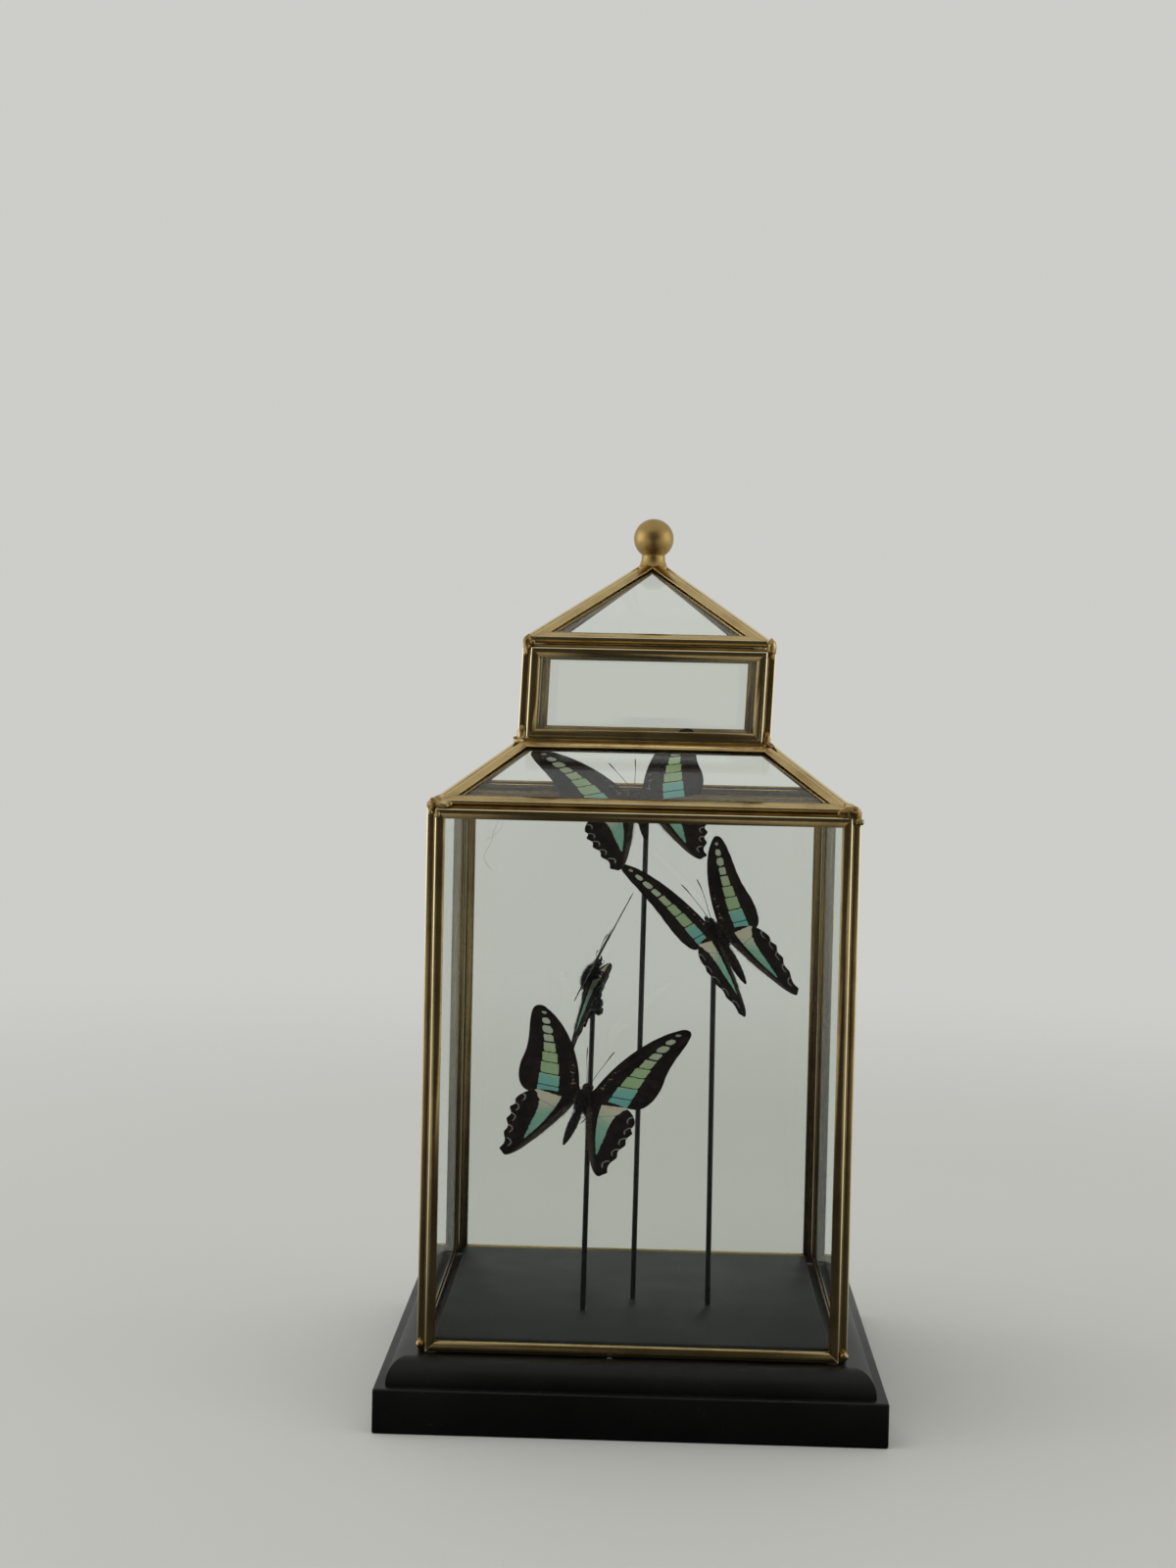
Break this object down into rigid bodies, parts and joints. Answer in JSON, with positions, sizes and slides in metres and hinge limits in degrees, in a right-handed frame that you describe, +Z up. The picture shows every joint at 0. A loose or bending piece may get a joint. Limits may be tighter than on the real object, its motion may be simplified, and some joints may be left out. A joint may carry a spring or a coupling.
{
  "type": "butterfly display case",
  "caption": "Pagoda-shaped brass and glass display case on a black moulded wooden plinth, with spread butterflies mounted on thin upright rods inside.",
  "frame": {"origin": "centre of the plinth's underside", "axes": "+Z up to the finial, the front pane faces -Y, +X to the right seen from the front"},
  "size_m": [0.177, 0.177, 0.3206],
  "materials": {
    "black_paint": "satin black paint on wood",
    "floor_black": "matte black paint on a thin board",
    "aged_brass": "aged, olive brown, brushed along the channel",
    "clear_glass": "clear float glass",
    "rod_black": "satin black",
    "insect": "dry scaled wings and furry body"
  },
  "bodies": {
    "root": {"plinth_slab": "black_paint", "plinth_top_board": "black_paint", "floor_panel": "floor_black", "body_frame_front": "aged_brass", "body_pane_front": "clear_glass", "body_frame_right": "aged_brass", "body_pane_right": "clear_glass", "body_frame_back": "aged_brass", "body_pane_back": "clear_glass", "body_frame_left": "aged_brass", "body_pane_left": "clear_glass", "roof_frame_front": "aged_brass", "roof_pane_front": "clear_glass", "roof_frame_right": "aged_brass", "roof_pane_right": "clear_glass", "roof_frame_back": "aged_brass", "roof_pane_back": "clear_glass", "roof_frame_left": "aged_brass", "roof_pane_left": "clear_glass", "neck_frame_front": "aged_brass", "neck_pane_front": "clear_glass", "neck_frame_right": "aged_brass", "neck_pane_right": "clear_glass", "neck_frame_back": "aged_brass", "neck_pane_back": "clear_glass", "neck_frame_left": "aged_brass", "neck_pane_left": "clear_glass", "peak_frame_front": "aged_brass", "peak_pane_front": "clear_glass", "peak_frame_right": "aged_brass", "peak_pane_right": "clear_glass", "peak_frame_back": "aged_brass", "peak_pane_back": "clear_glass", "peak_frame_left": "aged_brass", "peak_pane_left": "clear_glass", "finial": "aged_brass", "rod_top": "rod_black", "butterfly_top": "insect", "rod_right": "rod_black", "butterfly_right": "insect", "rod_rear": "rod_black", "butterfly_rear": "insect", "rod_front": "rod_black", "butterfly_front": "insect"}
  },
  "joints": []
}
